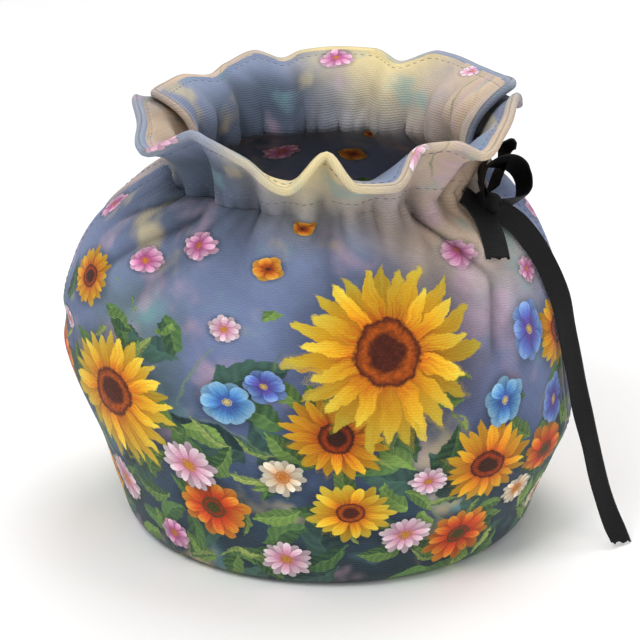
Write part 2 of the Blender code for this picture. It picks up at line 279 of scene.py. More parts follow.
def ringPlaces():
    # how far up the cloth each ring lies
    places = [0.0]
    for low, high in zip(bodyRings, bodyRings[1:]):
        climb = np.hypot(high[1] - low[1], (sum(high[3:]) - sum(low[3:])) / 4)
        places.append(places[-1] + climb)
    return places


places = ringPlaces()
neckPlace = places[-1]
bodyCurves = {name: makeCurve(places, [ring[k] for ring in bodyRings])
              for k, name in enumerate(("height", "rise", "spout", "handle", "front", "back"), 1)}


def gatherDepth(gathers, turn, below):
    depth = np.zeros(np.broadcast(turn, below).shape)
    for middle, drift, deep, wide, run in gathers:
        share = np.maximum(0.0, below) / run
        off = (turn - middle - drift * share) / wide
        trough = np.exp(-off * off) - 0.3 * np.exp(-(((np.abs(off) - 1.7) / 0.7) ** 2))
        depth += deep * (1 - smooth(share)) * trough
    return depth


def unevenness(turn, height):
    a = np.radians(turn)
    swell = np.sin(3 * a + height / 23 + 1.0) + 0.7 * np.sin(5 * a - height / 17 + 2.0)
    return 0.8 * swell * smooth((height - 10) / 45)


def bodyPoint(gathers, turn, place):
    a = np.radians(turn)
    across = np.where(np.sin(a) >= 0, bodyCurves["handle"](place), bodyCurves["spout"](place))
    along = np.where(np.cos(a) >= 0, bodyCurves["front"](place), bodyCurves["back"](place))
    height = bodyCurves["height"](place) + bodyCurves["rise"](place) * np.sin(a)
    x, y = across * np.sin(a), -along * np.cos(a)
    reach = np.hypot(x, y)
    drawn = gatherDepth(gathers, turn, neckPlace - place) - unevenness(turn, height)
    scale = (reach - drawn) / reach
    return np.stack([x * scale, y * scale, height + 0 * x], -1)


def rufflePoint(folds, gathers, neckTurn, rimTurn, t):
    neck = bodyPoint(gathers, neckTurn, np.full(neckTurn.shape, neckPlace))
    a = np.radians(rimTurn)
    reach, height = folds["reach"](rimTurn), folds["height"](rimTurn)
    rim = np.stack([reach * np.sin(a), -reach * np.cos(a), height], -1)
    flat = neck * (1, 1, 0)
    inward = -flat / lengthOf(flat, True)
    collar = neck + (0, 0, cosyShape["collarLift"]) + inward * folds["draw"](rimTurn)[..., None]
    t = t[..., None]
    point = neck * (1 - t) ** 2 + collar * 2 * t * (1 - t) + rim * t * t
    grows, fades, peak = cosyShape["lapPowers"]
    lap = np.radians(folds["lap"](rimTurn)) * peak * t[..., 0] ** grows * (1 - t[..., 0]) ** fades
    x = point[..., 0] * np.cos(lap) - point[..., 1] * np.sin(lap)
    y = point[..., 0] * np.sin(lap) + point[..., 1] * np.cos(lap)
    return np.stack([x, y, point[..., 2]], -1)


def slotEdge(slot, place):
    # turn from the parting to the middle of the cloth's rounded edge
    part, low, high, standBack = slot
    side = sin(radians(part))
    height = bodyCurves["height"](place) + bodyCurves["rise"](place) * side
    reach = bodyCurves["handle" if side > 0 else "spout"](place)
    share = np.clip((height - low) / (high - low), 0, 1)
    openBy = standBack * np.sin(pi * share) ** 0.8
    nearNeck = smooth((place - neckPlace) / cosyShape["slotFade"] + 1)
    gap = cosyShape["seamGap"] + (cosyShape["neckGap"] - cosyShape["seamGap"]) * nearNeck
    return np.degrees((openBy + gap / 2 + cosyShape["outerHalf"]) / reach)


def clothSteps():
    # places up the body, and shares of the ruffle, closer together at the turned edges
    body = np.concatenate([np.arange(0, 16, 1.2), np.arange(16, neckPlace - 1, 1.9), [neckPlace]])
    ruffle = np.concatenate([np.linspace(0, 0.84, 27)[1:], np.linspace(0.84, 0.968, 11)[1:]])
    edge = np.array([0, 0.8, 1.6, 2.4, 3.2, 4.2, 5.6, 7.4]) / 290
    columns = np.concatenate([edge, np.linspace(edge[-1], 1 - edge[-1], 168)[1:-1], 1 - edge[::-1]])
    return body, ruffle, columns


def panelGrid(first, last, folds, gathers, creases, seed):
    curves = {name: makeCurve([f[0] for f in folds], [f[k] for f in folds])
              for k, name in enumerate(("reach", "height", "draw", "lap"), 1)}
    body, ruffle, columns = clothSteps()
    low = first[0] + slotEdge(first, body)
    high = last[0] - slotEdge(last, body)
    turns = low[:, None] + (high - low)[:, None] * columns
    upBody = np.repeat(body[:, None], len(columns), 1)
    points = [bodyPoint(gathers, turns, upBody)]
    inset = degrees(cosyShape["outerHalf"] / 80)
    rimTurns = folds[0][0] + inset + (folds[-1][0] - folds[0][0] - 2 * inset) * columns
    for t in ruffle:
        neckTurn = turns[-1]
        points.append(rufflePoint(curves, gathers, neckTurn, rimTurns, np.full(len(columns), t))[None])
    points = np.concatenate(points)
    ruffleTurns = turns[-1] * (1 - ruffle[:, None]) + rimTurns * ruffle[:, None]
    allTurns = np.concatenate([turns, ruffleTurns])
    steps = lengthOf(np.diff(points[len(body) - 1:], axis=0))
    upRuffle = neckPlace + np.cumsum(steps, 0)
    up = np.concatenate([upBody, upRuffle])
    move, dent = wrinkles(points, allTurns, up, creases, seed)
    # how deep each trough lies, which the canvas turns into painted shade in creases and gathers
    trough = dent + cosyShape["gatherShade"] * gatherDepth(gathers, allTurns, neckPlace - up)
    return points + move, allTurns, up, trough


def wrinkles(points, turns, up, creases, seed):
    # fine puckers at the neck and the creases of the table, as moves towards the axis
    dent = np.zeros(turns.shape)
    rng = np.random.default_rng(seed)
    first, last = turns.min(), turns.max()
    shift, leanMost, fade = (cosyShape[key] for key in ("puckerShift", "puckerLean", "edgeFade"))
    for middle in np.arange(first + 4, last - 3, cosyShape["puckerStep"]):
        middle += rng.uniform(-shift, shift)
        deep, wide, down, over = (rng.uniform(*cosyShape["pucker" + part])
                                  for part in ("Depth", "Wide", "Down", "Over"))
        lean = rng.uniform(-leanMost, leanMost)
        away = up - neckPlace
        off = (turns - middle - lean * away) / wide
        reachOf = np.where(away > 0, away / over, -away / down)
        dent += deep * np.exp(-off * off) * (1 - smooth(reachOf))
    for turnA, upA, turnB, upB, deep, wide in creases:
        alongX, alongY = (turnB - turnA) * 1.5, upB - upA
        length = np.hypot(alongX, alongY)
        x, y = (turns - turnA) * 1.5, up - upA
        along = (x * alongX + y * alongY) / length ** 2
        off = (x * alongY - y * alongX) / length / wide
        ends = smooth(along / 0.3 + 0.15) * smooth((1 - along) / 0.3 + 0.15)
        dent += deep * ends * (np.exp(-off * off) - 0.45 * np.exp(-((np.abs(off) - 1.9) / 0.9) ** 2))
    edgeFade = smooth((turns - first) / fade) * smooth((last - turns) / fade)
    flat = points * (1, 1, 0)
    outward = flat / lengthOf(flat, True)
    dent = dent * edgeFade
    return -outward * dent[..., None], dent


def lengthOf(v, keep=False):
    return np.linalg.norm(v, axis=-1, keepdims=keep)


def toMetres(points):
    return ((np.array(points) + (*cosyShape["axis"], 0.0)) * mm).tolist()


def unit(v):
    return v / np.maximum(lengthOf(v, True), 1e-12)


def writeValues(layer, field, values):
    layer.data.foreach_set(field, np.asarray(values, np.float32).reshape(-1))


def edgeDistance(points):
    # mm from each point to the rim and to the nearest side edge, along the cloth
    upSteps = lengthOf(np.diff(points, axis=0))
    fromHem = np.concatenate([np.zeros((1, points.shape[1])), np.cumsum(upSteps, 0)])
    acrossSteps = lengthOf(np.diff(points, axis=1))
    fromLeft = np.concatenate([np.zeros((points.shape[0], 1)), np.cumsum(acrossSteps, 1)], 1)
    fromSide = np.minimum(fromLeft, fromLeft[:, -1:] - fromLeft)
    return fromHem[-1:] - fromHem, fromSide


def addPanel(name, grid, centreTurn, material):
    points, turns, up, trough = grid
    rows, columns = turns.shape
    across, upward = np.gradient(points, axis=1), np.gradient(points, axis=0)
    normals = unit(np.cross(across, upward))
    fromRim, fromSide = edgeDistance(points)
    fromEdge = np.minimum(fromRim, fromSide)
    aboveNeck = smooth((up - neckPlace + 8) / 8)
    wide = cosyShape["beadWide"]
    bead = np.exp(-((fromEdge - 0.3 * wide) / (0.55 * wide)) ** 2)
    groove = np.exp(-((fromEdge - 1.35 * wide) / cosyShape["grooveWide"]) ** 2)
    puff = (cosyShape["bead"] * bead - cosyShape["groove"] * groove) * np.maximum(aboveNeck, 0.35)
    puff = puff * smooth((up - 8) / 10)
    outer = points + normals * (cosyShape["outerHalf"] + puff)[..., None]
    inner = points - normals * (cosyShape["innerHalf"] + puff)[..., None]

    # the perimeter, with the direction off the cloth at each of its points
    loop = [(0, j) for j in range(columns)] + [(i, columns - 1) for i in range(1, rows)]
    loop += [(rows - 1, j) for j in range(columns - 2, -1, -1)] + [(i, 0) for i in range(rows - 2, 0, -1)]
    off = np.zeros_like(points)
    off[0] -= unit(upward[0])
    off[-1] += unit(upward[-1])
    off[:, 0] -= unit(across[:, 0])
    off[:, -1] += unit(across[:, -1])
    off = unit(off - normals * np.sum(off * normals, -1, keepdims=True))
    arcSteps = 6
    around = tuple(np.array(loop).T)
    middle = (outer + inner)[around] / 2
    radius = (lengthOf(outer - inner)[around] / 2)[:, None]
    arcs = [middle + radius * (off[around] * sin(a) + normals[around] * cos(a))
            for a in (pi * k / arcSteps for k in range(1, arcSteps))]

    size = rows * columns
    vertices = np.concatenate([outer.reshape(-1, 3), inner.reshape(-1, 3), *arcs])
    index = np.arange(size).reshape(rows, columns)
    outerQuads = np.stack([index[:-1, :-1], index[:-1, 1:], index[1:, 1:], index[1:, :-1]], -1)
    innerQuads = outerQuads[..., ::-1] + size
    ringIndex = [index[around]]
    ringIndex += [2 * size + k * len(loop) + np.arange(len(loop)) for k in range(arcSteps - 1)]
    ringIndex += [index[around] + size]
    strips = [np.stack([np.roll(near, -1), near, far, np.roll(far, -1)], -1)
              for near, far in zip(ringIndex, ringIndex[1:])]
    faces = np.concatenate([outerQuads.reshape(-1, 4), innerQuads.reshape(-1, 4), *strips])

    # where each corner lies on the flat print: radians from the panel's middle, mm up the cloth
    turned = np.radians(turns - centreTurn)
    reach = lengthOf(points[..., :2])
    outerPlace = np.stack([turned, up], -1).reshape(-1, 2)
    rolled = np.stack([turned, up + 2 * (fromRim + cosyShape["roundEdge"])], -1).reshape(-1, 2)
    liningPlace = np.stack([-turned, up], -1).reshape(-1, 2)
    arcPlaces = []
    for k in range(1, arcSteps):
        over = cosyShape["roundEdge"] * k / arcSteps
        arcPlaces.append(np.stack([turned[around], up[around] + over], -1))
    printPlace = np.concatenate([outerPlace, rolled, *arcPlaces])
    liningAll = np.concatenate([outerPlace, liningPlace, *arcPlaces])
    sizes = np.stack([reach, np.minimum(fromEdge, cosyShape["edgeMap"])], -1)
    sizesAll = np.concatenate([sizes.reshape(-1, 2)] * 2 + [sizes[around] * (1, 0)] * (arcSteps - 1))
    isLining = np.zeros(len(faces), bool)
    belowRoll = fromRim[:-1, :-1] > cosyShape["rollWide"]
    isLining[belowRoll.size:2 * belowRoll.size] = belowRoll.reshape(-1)

    mesh = bpy.data.meshes.new(name)
    mesh.from_pydata(toMetres(vertices), [], faces.tolist())
    corners = faces.reshape(-1)
    lining = np.repeat(isLining, 4)[:, None]
    printMap = np.where(lining, liningAll[corners], printPlace[corners])
    writeValues(mesh.uv_layers.new(name="print"), "uv", printMap)
    writeValues(mesh.uv_layers.new(name="sizes"), "uv", sizesAll[corners])
    # painted shade for the troughs of the outer skin, and painted light where the lining stands out as a
    # ridge behind them
    shadeDepths = [trough.reshape(-1), -0.5 * trough.reshape(-1), np.zeros((arcSteps - 1) * len(loop))]
    writeValues(mesh.attributes.new("trough", "FLOAT", "POINT"), "value", np.concatenate(shadeDepths))
    addBlooms(mesh, printMap.reshape(-1, 4, 2), sizesAll[corners][:, 0].reshape(-1, 4))
    mesh.materials.append(material)
    mesh.shade_smooth()
    panel = addObject(name, mesh)
    area = lengthOf(np.cross(across, upward)).sum() * mm * mm
    skins = [(outer, normals), (inner, -normals)]
    return panel, area, stitchLines(skins, fromRim, fromSide, up)


def lineAt(values, level, skin):
    # the line on a skin where the values of each column pass the level, a little proud of it
    points, normals = skin
    line = []
    for j in range(values.shape[1]):
        past = np.nonzero((values[:-1, j] - level) * (values[1:, j] - level) <= 0)[0]
        if len(past):
            i = past[-1]
            share = (level - values[i, j]) / (values[i + 1, j] - values[i, j] + 1e-9)
            place = points[i, j] * (1 - share) + points[i + 1, j] * share
            line.append(place + normals[i, j] * stitching["proud"])
    return line


def stitchLines(skins, fromRim, fromSide, up):
    # rim on both skins, casing rows at the neck, and the sides of the body on the outer skin
    lines = []
    rimAt, sideAt = stitching["fromRim"], stitching["fromSide"]
    for skin in skins:
        lines.append(lineAt(fromRim, rimAt, skin)[6:-6])
    for level in stitching["casing"]:
        lines.append(lineAt(up, neckPlace + level, skins[0])[4:-4])
    half = fromSide.shape[1] // 2
    flipped = tuple(np.swapaxes(a, 0, 1) for a in skins[0])
    sides = fromSide.T
    rows = slice(14, -12)
    for columns in (slice(0, half), slice(half, None)):
        part = tuple(a[columns, rows] for a in flipped)
        lines.append(lineAt(sides[columns, rows], sideAt, part))
    return lines


print("printed canvas")

# Flower colours: petal tip, petal middle, petal base, heart.
palettes = {
    "gold": ("#fbe04a", "#f5b51d", "#d8650f", "#5b2413"),
    "amber": ("#f6c52c", "#ef9a18", "#c9480f", "#47200f"),
    "coral": ("#f0a232", "#e2591d", "#b62b16", "#4c4a1c"),
    "pink": ("#f3c6dc", "#dd92bd", "#b9558c", "#e08a26"),
    "blush": ("#fbeaf0", "#eebfd2", "#d98aae", "#e59a2a"),
    "cream": ("#fbf3df", "#f2dcbc", "#e3a878", "#e0862b"),
    "violet": ("#8fb4ea", "#5f76c9", "#5b4a9c", "#e8c25a"),
    "sky": ("#9fd0ee", "#5f9fdb", "#4367b4", "#f0d684"),
    "orange": ("#f9c04f", "#f08a24", "#a9461b", "#3a2418"),
}

# Blooms of the print: degrees and mm up the cloth from the panel's middle, radius in mm, petals,
# spin in degrees, how far it is seen from the side (1 is face on), colours, heart share. Later
# rows lie over earlier ones.
blooms = [
    (-16, 44, 17, 9, 28, 0.85, "coral", 0.30), (48, 30, 19, 10, 12, 0.8, "coral", 0.28),
    (-70, 72, 20, 9, 10, 0.8, "coral", 0.28), (74, 66, 18, 9, 40, 0.85, "coral", 0.30),
    (14, 84, 22, 12, 10, 0.9, "amber", 0.32), (26, 116, 41, 15, 5, 0.96, "gold", 0.31),
    (-40, 78, 34, 14, 30, 0.92, "gold", 0.32), (52, 70, 25, 12, 18, 0.88, "amber", 0.32),
    (-58, 124, 17, 11, 25, 0.8, "amber", 0.34), (18, 50, 19, 11, 0, 0.86, "gold", 0.30),
    (-66, 34, 17, 10, 12, 0.85, "amber", 0.3), (80, 108, 17, 11, 25, 0.8, "amber", 0.34),
    (66, 114, 13, 5, 20, 0.9, "violet", 0.15), (56, 94, 11, 5, 50, 0.85, "sky", 0.15),
    (77, 86, 11, 5, 5, 0.9, "violet", 0.15), (-10, 92, 12, 5, 62, 0.9, "sky", 0.15),
    (-2, 102, 9, 5, 30, 0.85, "violet", 0.15),
    (-26, 152, 9, 8, 8, 0.8, "pink", 0.2), (-40, 140, 8, 8, 38, 0.75, "pink", 0.2),
    (-76, 148, 9, 8, 33, 0.75, "pink", 0.2), (52, 150, 9, 8, 15, 0.8, "pink", 0.2),
    (74, 134, 8, 8, 5, 0.8, "pink", 0.2), (-12, 122, 7, 8, 20, 0.8, "blush", 0.24),
    (-20, 60, 12, 10, 28, 0.9, "blush", 0.26), (2, 64, 10, 9, 0, 0.9, "cream", 0.3),
    (32, 36, 12, 10, 12, 0.9, "blush", 0.26), (-50, 38, 12, 10, 5, 0.85, "blush", 0.26),
    (2, 24, 12, 10, 44, 0.85, "blush", 0.26), (66, 46, 11, 10, 20, 0.88, "cream", 0.28),
    (-32, 24, 9, 8, 10, 0.85, "pink", 0.24), (36, 66, 9, 9, 20, 0.9, "blush", 0.26),
    (-66, 96, 9, 9, 4, 0.85, "blush", 0.26), (84, 30, 12, 9, 30, 0.85, "cream", 0.3),
    (-4, 148, 7, 4, 20, 0.8, "orange", 0.14), (4, 168, 5, 4, 50, 0.8, "orange", 0.14),
    (-10, 206, 9, 8, 10, 0.8, "pink", 0.2), (-46, 212, 8, 8, 30, 0.8, "pink", 0.2),
    (40, 210, 7, 8, 30, 0.8, "blush", 0.2),
]
bloomReach = 1.24  # radii that a bloom and the soft shade round it need
# A turn on the print is laid flat by this share of the point's own reach, and this many mm.
flatShare, flatReach = 0.5, 47.0
layerNames = "ABCDE"


def addBlooms(mesh, place, reach):
    # gives each face of the cloth the coordinates of the blooms that lie on it, in bloom radii, one
    # map for each layer of blooms that don't touch
    reach = reach * flatShare + flatReach
    centres, centreReach = place.mean(1), reach.mean(1)
    names = list(palettes)
    maps = [np.full(place.shape, 9.0) for name in layerNames]
    kinds = [np.full((*place.shape[:2], 3), (0.0, 8.0, 0.3)) for name in layerNames]
    filled = [np.zeros(len(place), bool) for name in layerNames]
    for seed, (turn, up, radius, petals, spin, squash, palette, heart) in enumerate(blooms):
        def local(at, wide):
            side = (at[..., 0] - radians(turn)) * wide / radius
            rise = (at[..., 1] - up) / radius / squash
            c, n = cos(radians(spin)), sin(radians(spin))
            return np.stack([side * c - rise * n, side * n + rise * c], -1)

        near = lengthOf(local(centres, centreReach)) < bloomReach + 1.0 / radius
        layer = max([k + 1 for k, used in enumerate(filled) if (used & near).any()], default=0)
        if layer == len(layerNames):
            raise ValueError("too many blooms lie over one another at row " + str(seed))
        maps[layer][near] = local(place[near], reach[near])
        kinds[layer][near] = (names.index(palette), petals, seed + heart)
        filled[layer] |= near
    for name, coordinates, kind in zip(layerNames, maps, kinds):
        writeValues(mesh.uv_layers.new(name="bloom" + name), "uv", coordinates)
        writeValues(mesh.attributes.new("kind" + name, "FLOAT_VECTOR", "CORNER"), "vector", kind)


# Hazes of colour in the print, the last one painted shade under the ruffle: radians from the panel's
# middle and half width, the mm up the cloth where one starts, is full, starts to fade and is gone,
# its colour and its strength.
hazes = [
    (-0.65, 0.35, 40, 84, 112, 150, "#6c8378", 0.7),
    (0.72, 0.3, 84, 112, 124, 152, "#77687c", 0.75),
    (0.12, 0.55, 150, 215, 400, 401, "#f3dd9b", 0.95),
    (1.05, 0.75, 100, 168, 400, 401, "#d9bfa4", 0.95),
    (-0.9, 0.5, 150, 230, 400, 401, "#8496b8", 0.5),
    # painted shade under the ruffle, on the left of each panel
    (-0.75, 0.8, 128, 166, 190, 206, "#424e5c", 0.8),
]

canvasLook = dict(
    ribPitch=1.0,  # mm between threads: the real canvas has about 0.8, drawn coarser to show
    weaveDepth=0.12,  # mm
    weaveReach=84.0,  # mm from the axis at which the ribs have their true pitch
    roughness=0.86,
)


def makeGroup(name, inputs, outputs):
    group = bpy.data.node_groups.new(name, "ShaderNodeTree")
    kinds = {"v": "NodeSocketVector", "c": "NodeSocketColor", "f": "NodeSocketFloat"}
    for inOut, names in (("INPUT", inputs), ("OUTPUT", outputs)):
        for label, kind in names:
            group.interface.new_socket(name=label, in_out=inOut, socket_type=kinds[kind])
    start = group.nodes.new("NodeGroupInput")
    end = group.nodes.new("NodeGroupOutput")
    return group, start.outputs, end


def readPalette(group, index, column):
    # a colour ramp with one flat step for each palette
    node = addNode(group, "ShaderNodeValToRGB", [index])
    ramp = node.color_ramp
    ramp.interpolation = "CONSTANT"
    while len(ramp.elements) < len(palettes):
        ramp.elements.new(0.5)
    for k, element in enumerate(ramp.elements):
        element.position = k / len(palettes)
    for element, colours in zip(ramp.elements, palettes.values()):
        element.color = toLinear(colours[column])
    return node


def bloomGroup():
    # one layer of painted flowers over the colour under them, from coordinates in flower radii
    group, given, end = makeGroup(
        "Painted blooms", [("Local", "v"), ("Kind", "v"), ("Wander", "v"), ("Under", "c")],
        [("Colour", "c")])
    # a hair's breadth taken from the colour below makes the layers work out one after another
    after = addNode(group, vectorMath, {0: given["Under"], 1: (1e-7,) * 3, 2: given["Local"]},
        "MULTIPLY_ADD")
    scaled = addNode(group, vectorMath, {0: given["Wander"], 1: (0.22, 0.22, 0.0), 2: after},
        "MULTIPLY_ADD")
    kind = addNode(group, split, [given["Kind"]])
    paletteAt = addNode(group, math, [kind.outputs[0], 0.5], "ADD")
    paletteAt = addNode(group, math, [paletteAt, float(len(palettes))], "DIVIDE")
    tip, middle, base, centre = (readPalette(group, paletteAt, column) for column in range(4))
    petals = kind.outputs[1]
    seed = addNode(group, math, [kind.outputs[2]], "FLOOR")
    heartShare = addNode(group, math, [kind.outputs[2]], "FRACT")
    distance = addNode(group, vectorMath, [scaled], "LENGTH").outputs["Value"]
    apart = addNode(group, split, [scaled])
    angle = addNode(group, math, [apart.outputs[1], apart.outputs[0]], "ARCTAN2")
    turnsRound = addNode(group, math, [angle, petals], "MULTIPLY")
    perTurn = addNode(group, math, [turnsRound, 2 * pi], "DIVIDE")
    # flowers of many petals have pointed ones
    pointed = addNode(group, remap, [petals, 8.0, 12.0, 2.8, 1.35])
    result = given["Under"]
    # soft dark ground behind the flower
    shade = addNode(group, remap, [distance, 0.7, 1.18, 0.55, 0.0], "SMOOTHSTEP")
    result = addNode(group, mix, [shade, result, toLinear("#2f3f3a")], blend_type="MULTIPLY")
    for row, (shift, length, dim) in enumerate(((0.5, 1.0, 0.72), (0.0, 0.9, 1.0))):
        share = addNode(group, math, [perTurn, shift], "ADD")
        cell = addNode(group, math, [share], "FLOOR")
        wrapped = addNode(group, math, [cell, petals], "FLOORED_MODULO")
        seeded = addNode(group, join, [wrapped, seed, float(row)])
        chance = addNode(group, "ShaderNodeTexWhiteNoise", [seeded], noise_dimensions="3D")
        rand = addNode(group, "ShaderNodeSeparateColor", [chance.outputs["Color"]])
        across = addNode(group, math, [share, cell], "SUBTRACT")
        lean = addNode(group, remap, [rand.outputs[0], 0.0, 1.0, 0.42, 0.58])
        centred = addNode(group, math, [across, lean], "SUBTRACT")
        wide = addNode(group, math, [centred, 2.0], "MULTIPLY")
        absolute = addNode(group, math, [wide], "ABSOLUTE")
        curved = addNode(group, math, [absolute, pointed], "POWER")
        notch = addNode(group, math, [curved, -0.55, 1.0], "MULTIPLY_ADD")
        reach = addNode(group, remap, [rand.outputs[1], 0.0, 1.0, length * 0.84, length])
        edge = addNode(group, math, [notch, reach], "MULTIPLY")
        inside = addNode(group, math, [edge, distance], "SUBTRACT")
        mask = addNode(group, remap, [inside, -0.01, 0.03, 0.0, 1.0], "SMOOTHSTEP")
        # streaks run along the petal
        streakSide = addNode(group, math, [centred, 7.0], "MULTIPLY")
        streakSeed = addNode(group, math, [wrapped, 9.7, seed], "MULTIPLY_ADD")
        streakAt = addNode(group, join, [streakSide, distance, streakSeed])
        streak = addNode(group, noise, {"Vector": streakAt, "Scale": 1.6, "Detail": 2.0})
        along = addNode(group, math, [distance, reach], "DIVIDE")
        wavy = addNode(group, math, [streak, 0.55, along], "MULTIPLY_ADD")
        low = addNode(group, remap, [wavy, 0.55, 0.95, 0.0, 1.0], "SMOOTHSTEP")
        high = addNode(group, remap, [wavy, 0.85, 1.3, 0.0, 1.0], "SMOOTHSTEP")
        warm = addNode(group, mix, [low, base, middle])
        petal = addNode(group, mix, [high, warm, tip])
        crease = addNode(group, remap, [absolute, 0.5, 1.0, 1.0, 0.55], "SMOOTHSTEP")
        sideLight = addNode(group, math, [centred, 0.35, crease], "MULTIPLY_ADD")
        lit = addNode(group, math, [sideLight, dim], "MULTIPLY")
        lit = addNode(group, math, [lit, rand.outputs[2], 0.0], "MULTIPLY_ADD")
        lit = addNode(group, remap, [lit, 0.0, 1.0, 0.7 * dim, 1.3 * dim])
        shaded = addNode(group, vectorMath, {0: petal, "Scale": lit}, "SCALE")
        result = addNode(group, mix, [mask, result, shaded])
    # the heart, with a dark ring, a warm middle and fine seed specks
    inHeart = addNode(group, math, [distance, heartShare], "DIVIDE")
    speckAt = addNode(group, vectorMath, {0: scaled, "Scale": 26.0}, "SCALE")
    speck = addNode(group, "ShaderNodeTexVoronoi", {"Vector": speckAt, "Scale": 1.0})
    warmRing = addNode(group, remap, [inHeart, 0.45, 0.72, 0.0, 1.0], "SMOOTHSTEP")
    outRing = addNode(group, remap, [inHeart, 0.72, 1.0, 1.0, 0.0], "SMOOTHSTEP")
    ring = addNode(group, math, [warmRing, outRing], "MULTIPLY")
    ringMix = addNode(group, math, [ring, 0.7], "MULTIPLY")
    heart = addNode(group, mix, [ringMix, centre, base])
    grain = addNode(group, remap, [speck.outputs["Distance"], 0.0, 0.8, 1.25, 0.6])
    heart = addNode(group, vectorMath, {0: heart, "Scale": grain}, "SCALE")
    ragged = addNode(group, math, [speck.outputs["Distance"], 0.1, inHeart], "MULTIPLY_ADD")
    heartMask = addNode(group, remap, [ragged, 1.0, 1.14, 1.0, 0.0], "SMOOTHSTEP")
    result = addNode(group, mix, [heartMask, result, heart])
    group.links.new(result.outputs[0], end.inputs["Colour"])
    return group


def leafGroup():
    # a scatter of painted leaves, one to a cell, over the colour under them
    group, given, end = makeGroup(
        "Painted leaves",
        [("Flat", "v"), ("Under", "c"), ("Cell", "f"), ("Seed", "f"), ("Amount", "f"),
         ("Slim", "f"), ("Light", "c"), ("Dark", "c")],
        [("Colour", "c")])
    moved = addNode(group, join, [given["Seed"], given["Seed"], 0.0])
    after = addNode(group, vectorMath, {0: given["Under"], 1: (1e-6,) * 3, 2: given["Flat"]},
        "MULTIPLY_ADD")
    flat = addNode(group, vectorMath, [after, given["Cell"]], "DIVIDE")
    flat = addNode(group, vectorMath, [flat, moved], "ADD")
    cells = addNode(group, "ShaderNodeTexVoronoi", {"Vector": flat, "Scale": 1.0, "Randomness": 0.85},
        voronoi_dimensions="2D")
    local = addNode(group, vectorMath, [flat, cells.outputs["Position"]], "SUBTRACT")
    rand = addNode(group, "ShaderNodeSeparateColor", [cells.outputs["Color"]])
    spin = addNode(group, math, [rand.outputs[0], 2 * pi], "MULTIPLY")
    turned = addNode(group, "ShaderNodeVectorRotate", {"Vector": local, "Angle": spin},
        rotation_type="Z_AXIS")
    apart = addNode(group, split, [turned])
    bend = addNode(group, math, [apart.outputs[0], apart.outputs[0]], "MULTIPLY")
    across = addNode(group, math, [bend, 0.5, apart.outputs[1]], "MULTIPLY_ADD")
    along = addNode(group, remap, [apart.outputs[0], -0.55, 0.55, 0.0, 1.0])
    bulge = addNode(group, math, [along, pi], "MULTIPLY")
    bulge = addNode(group, math, [bulge], "SINE")
    width = addNode(group, math, [bulge, given["Slim"]], "MULTIPLY")
    side = addNode(group, math, [across], "ABSOLUTE")
    inside = addNode(group, math, [width, side], "SUBTRACT")
    mask = addNode(group, remap, [inside, 0.0, 0.03, 0.0, 1.0], "SMOOTHSTEP")
    chosen = addNode(group, math, [rand.outputs[1], given["Amount"]], "LESS_THAN")
    mask = addNode(group, math, [mask, chosen], "MULTIPLY")
    veinAt = addNode(group, math, [side, -0.7, along], "MULTIPLY_ADD")
    veins = addNode(group, math, [veinAt, 48.0], "MULTIPLY")
    veins = addNode(group, math, [veins], "SINE")
    rib = addNode(group, remap, [side, 0.0, 0.025, 1.0, 0.0], "SMOOTHSTEP")
    half = addNode(group, remap, [across, -0.02, 0.02, 0.0, 0.35], "SMOOTHSTEP")
    tone = addNode(group, math, [veins, 0.12, half], "MULTIPLY_ADD")
    tone = addNode(group, math, [rib, 0.4, tone], "MULTIPLY_ADD")
    tone = addNode(group, math, [rand.outputs[2], 0.6, tone], "MULTIPLY_ADD")
    leaf = addNode(group, mix, [tone, given["Dark"], given["Light"]], use_clamp=True)
    result = addNode(group, mix, [mask, given["Under"], leaf])
    group.links.new(result.outputs[0], end.inputs["Colour"])
    return group


